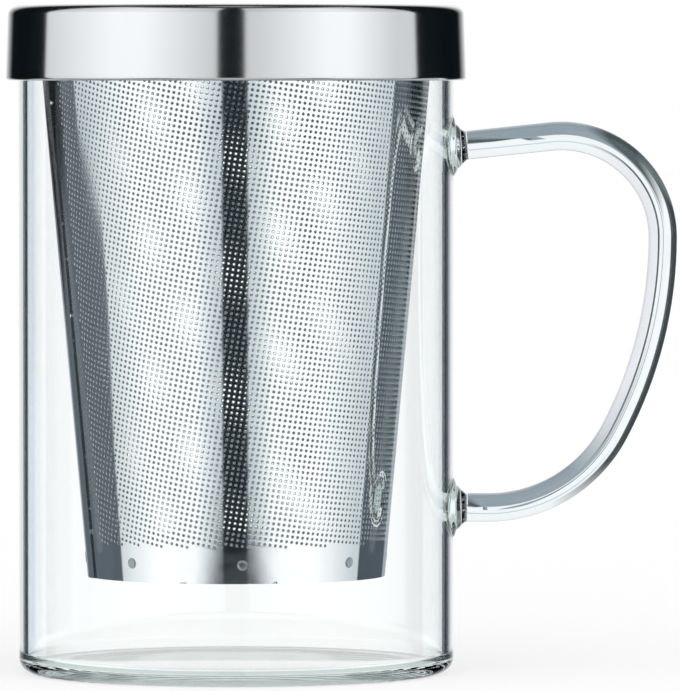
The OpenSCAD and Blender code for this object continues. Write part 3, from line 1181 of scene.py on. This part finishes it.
def dark_card(web, ray, plain):
    """The card towards the back, in the colour plain, with a darker wedge along its top."""
    wedge = (4.6 - (ray.off - 127) * 0.037 - ray.drop).up(0, 0.5) * ray.off.up(126, 3)
    return web.blend(wedge, plain, WEDGE_BLACK)


def open_view(web, ray):
    """What bare metal mirrors: softboxes with a dark gap in front, dark cards behind and a dark ceiling."""
    off, height, drop, right = ray.off, ray.height, ray.drop, ray.is_right
    fade = 0.36 * off.up(84, 40) * (1 - right) + 0.43 * off.up(74, 28) * right
    level = (0.81 + 0.44 * off.up(29, 34) - fade) * (1 - 0.22 * height.up(12, 8))
    lit = web.join(level * 0.985, level, level * 1.015)
    lit = web.blend(drop.within(0, 4.5, 1), lit, grey(0.3))
    gap = (ray.front + 1.7).math("ABSOLUTE")
    view = web.blend(gap.up(HALF_GAP, 1.5), GAP_BLACK, lit)
    view = web.blend(off.up(110 - 7 * right, 1.5), view, dark_card(web, ray, CARD_BLACK))
    view = web.blend(off.up(162, 20), view, grey(0.95))
    ceiling = 62 - 12 * off.up(120, 40)
    view = web.blend(height.up(ceiling, 8), view, grey(0.03))
    view = web.blend(height.up(81, 6), view, grey(0.3))
    return web.blend(drop.up(25, 4), view, web.blend(upright_streaks(ray), grey(0.5), grey(0.17)))


def infuser_view(web, ray):
    """What the infuser mirrors through the glass. A ray that meets it further down leaves lower too."""
    off, drop, right = ray.off, ray.drop, ray.is_right
    gap = HALF_GAP + 3.6 * drop.up(12, 6) + 30 * drop.up(13.9, 0.9)
    lit = web.blend(off.up(gap + 11, 16) * (1 - off.up(82, 40)), SOFTBOX, SOFTBOX_PEAK)
    view = web.blend(off.up(gap, 1.5), GAP_BLACK, lit)
    slate = web.blend(right, LEFT_SLATE, RIGHT_SLATE)
    plain = web.blend(drop.up(1.5, 1), CARD_BLACK, slate)
    left_edge = 110 + 4.2 * drop.up(8.95, 0.5) - 17 * drop.up(6.95, 2)
    card_edge = left_edge + right * (108 - left_edge)
    view = web.blend(off.up(card_edge, 1.5), view, dark_card(web, ray, plain))
    limb = web.blend(drop.up(2.2, 0.6), LIMB_DARK, LIMB_PALE)
    view = web.blend(off.up(154, 2), view, web.blend(off.up(171, 2), limb, WHITE))
    beyond = drop.below(-4).math("MAXIMUM", drop.above(18)) * (1 - ray.is_back)
    view = web.blend(beyond, view, PALE_GREEN)
    return web.blend(upright_streaks(ray) * drop.up(20, 4), view, STREAK_TEAL)


def wall_view(web, ray):
    """What light shows that was turned back in the glass wall: pale, with a dark strip near each edge."""
    right = ray.back.math("WRAP", 45, -45)
    left = 0 - right
    pale = web.blend(right.math("ABSOLUTE").up(13, 16), grey(1.05), WALL_BLUE)
    pale = web.blend(ray.back.math("ABSOLUTE").up(62, 10), pale, SIDE_BLUE)
    pale = web.blend(ray.steep.up(16, 6), pale, GUIDED_GREEN)
    strip = left.within(20.7, 31, 0.8, 1) + right.within(17.5, 34, 11, 1)
    return web.blend(strip * (1 - ray.steep.up(12, 2)), pale, EDGE_STRIP)


def mug_view(web, ray):
    """What is seen through the mug's two walls: a white backdrop with a dark strip at the right."""
    aside = ray.back.math("ABSOLUTE")
    backdrop = web.blend(aside.up(6, 4), grey(1.08), MUG_WHITE)
    backdrop = web.blend(aside.up(12, 2), backdrop, MUG_BLUE)
    return web.blend(ray.back.within(15.5, 24, 1) * (1 - ray.steep.up(9, 1)), backdrop, EDGE_STRIP)


def rod_view(web, ray):
    """What the handle's rod bends into view: dark along its outer edge, clear in the middle, pale inside."""
    x, z, bent = ray.x, ray.z, ray.from_back
    spread = across(x, z).math("MAXIMUM", 1e-4)
    left, right = (0 - x / spread).up(0.6, 0.4), (x / spread).up(0.6, 0.4)
    low, high = (0 - z / spread).up(0.6, 0.4), (z / spread).up(0.6, 0.4)
    ahead = 1 - bent.up(65, 2)
    edge = web.blend(ray.drop.up(13, 6), ROD_EDGE, ROD_EDGE_LOW)
    view = web.blend(left * bent.up(19, 2) * ahead, ROD_CLEAR, edge)
    view = web.blend(right * bent.up(13, 1) * ahead, view, ROD_LAVENDER)
    view = web.blend(right * bent.within(8.5, 12.7, 1), view, ROD_LINE)
    top_run = (1 - x.math("ABSOLUTE").up(0.011, 0.004)) * ray.height.within(-3.4, 4.3, 0.4, 0.6)
    band = (low * bent.up(3.4, 0.4) * ahead).math("MAXIMUM", top_run)
    round_bend = (0 - x / spread).up(0.24, 0.2)
    view = web.blend(band, view, web.blend(round_bend, ROD_BAND, ROD_BAND_DEEP))
    view = web.blend(high * bent.within(11.5, 14, 1), view, ROD_RISE)
    return web.blend(high * bent.up(46, 4), view, grey(0.2))


def surroundings(settings):
    """
    The world: plain soft light, and what metal and glass show of a studio round the mug. How often a ray
    went through glass and was mirrored tells what it met: depth 0 is bare metal, 1 to 3 the inside of the
    glass wall, and 4 or more the infuser behind it.
    """
    world = bpy.data.worlds.new("studio")
    world.use_nodes = True
    world.node_tree.nodes.clear()
    world.cycles.sampling_method = "NONE"
    web = Web(world.node_tree)
    ray = Heading(*web.split(web.add("ShaderNodeTexCoord", output="Generated")))
    path = web.node("ShaderNodeLightPath")
    camera, passed, sharp, bounced, depth = (
        Wire(web, path.outputs[name])
        for name in (
            "Is Camera Ray",
            "Is Transmission Ray",
            "Is Singular Ray",
            "Glossy Depth",
            "Transmission Depth",
        )
    )
    open_mug = sharp * ray.drop.up(8, 2)
    one_wall = web.blend(open_mug, rod_view(web, ray), CLEAR)
    through = web.blend(depth.above(2.5), one_wall, mug_view(web, ray))
    # Painted shade: rays mirrored two or more times between the infuser's metal sheets are darkened towards
    # black
    shade_between_metal = (bounced.above(1.5) * 0.7 + bounced.above(2.5) * 0.25) * (1 - ray.is_back)
    infuser = web.blend(shade_between_metal, infuser_view(web, ray), grey(0.0))
    infuser = web.blend(bounced.above(6.5), infuser, GUIDED_GREEN)
    mirrored = web.blend(depth.above(0.5), open_view(web, ray), wall_view(web, ray))
    mirrored = web.blend(depth.above(3.5), mirrored, infuser)
    view = web.blend(passed, grey(settings.light), through)
    view = web.blend(bounced.above(0.5), view, mirrored)
    view = web.blend(camera, view, WHITE)
    light = web.add("ShaderNodeBackground", values={"Color": view, "Strength": 1.0})
    web.node("ShaderNodeOutputWorld", values={"Surface": light})
    return world


class TEAMUG_OT_stage(bpy.types.Operator):
    """Make the floor, the surroundings and the camera"""

    bl_idname = "teamug.stage"
    bl_label = "Make Stage"
    bl_options = {"REGISTER", "UNDO"}

    def execute(self, context):
        scene, settings = context.scene, context.scene.tea_stage
        wide = FLOOR_REACH
        corners = [(-wide, -wide, 0), (wide, -wide, 0), (wide, wide, 0), (-wide, wide, 0)]
        floor = solid("floor", corners, [(0, 1, 2, 3)])
        material, web = new_material("pale_floor")
        seen = web.add("ShaderNodeLightPath", output="Is Camera Ray")
        shaded = web.add(
            "ShaderNodeBsdfDiffuse", values={"Color": grey(settings.floor), "Roughness": 1.0}
        )
        white = web.add("ShaderNodeEmission", values={"Color": WHITE, "Strength": 1.0})
        mixed = web.add("ShaderNodeMixShader", values={0: seen * settings.lift, 1: shaded, 2: white})
        web.node("ShaderNodeOutputMaterial", values={"Surface": mixed})
        floor.data.materials.append(material)
        floor.visible_glossy = False
        floor.visible_transmission = False
        scene.world = surroundings(settings)
        scene.view_settings.view_transform = "Standard"
        scene.cycles.max_bounces = BOUNCES
        scene.cycles.transmission_bounces = BOUNCES
        scene.cycles.glossy_bounces = BOUNCES
        lens = bpy.data.cameras.new("camera")
        lens.lens = settings.focal
        lens.sensor_width = SENSOR_WIDTH
        lens.clip_end = 50
        camera = bpy.data.objects.new("camera", lens)
        scene.collection.objects.link(camera)
        camera.location = settings.eye
        aim = Vector(settings.aim) - Vector(settings.eye)
        camera.rotation_mode = "QUATERNION"
        camera.rotation_quaternion = aim.to_track_quat("-Z", "Y")
        scene.camera = camera
        return {"FINISHED"}


GROUPS = {
    "tea_glass": GlassSizes,
    "tea_handle": HandleSizes,
    "tea_infuser": InfuserSizes,
    "tea_lid": LidSizes,
    "tea_welds": WeldSizes,
    "tea_finishes": Finishes,
    "tea_stage": StageSettings,
}
OPERATORS = (
    TEAMUG_OT_glass,
    TEAMUG_OT_infuser_wall,
    TEAMUG_OT_infuser_base,
    TEAMUG_OT_collar,
    TEAMUG_OT_lid,
    TEAMUG_OT_welds,
    TEAMUG_OT_stage,
)


class TEAMUG_PT_panel(bpy.types.Panel):
    """Sizes, colours and the buttons that build the mug"""

    bl_idname = "TEAMUG_PT_panel"
    bl_label = "Tea Mug"
    bl_space_type = "VIEW_3D"
    bl_region_type = "UI"
    bl_category = "Tea Mug"

    def draw(self, context):
        for group, kind in GROUPS.items():
            box = self.layout.box()
            box.label(text=kind.__doc__)
            for name in kind.__annotations__:
                box.prop(getattr(context.scene, group), name)
        for operator in OPERATORS:
            self.layout.operator(operator.bl_idname)


def register():
    for group, kind in GROUPS.items():
        bpy.utils.register_class(kind)
        setattr(bpy.types.Scene, group, bpy.props.PointerProperty(type=kind))
    for kind in (*OPERATORS, TEAMUG_PT_panel):
        bpy.utils.register_class(kind)


def unregister():
    for kind in (TEAMUG_PT_panel, *reversed(OPERATORS)):
        bpy.utils.unregister_class(kind)
    for group, kind in reversed(GROUPS.items()):
        delattr(bpy.types.Scene, group)
        bpy.utils.unregister_class(kind)


def main():
    register()
    bpy.ops.teamug.glass()
    bpy.ops.teamug.infuser_wall()
    bpy.ops.teamug.infuser_base()
    bpy.ops.teamug.collar()
    bpy.ops.teamug.lid()
    bpy.ops.teamug.welds()
    bpy.ops.teamug.stage()


if __name__ == "__main__":
    main()
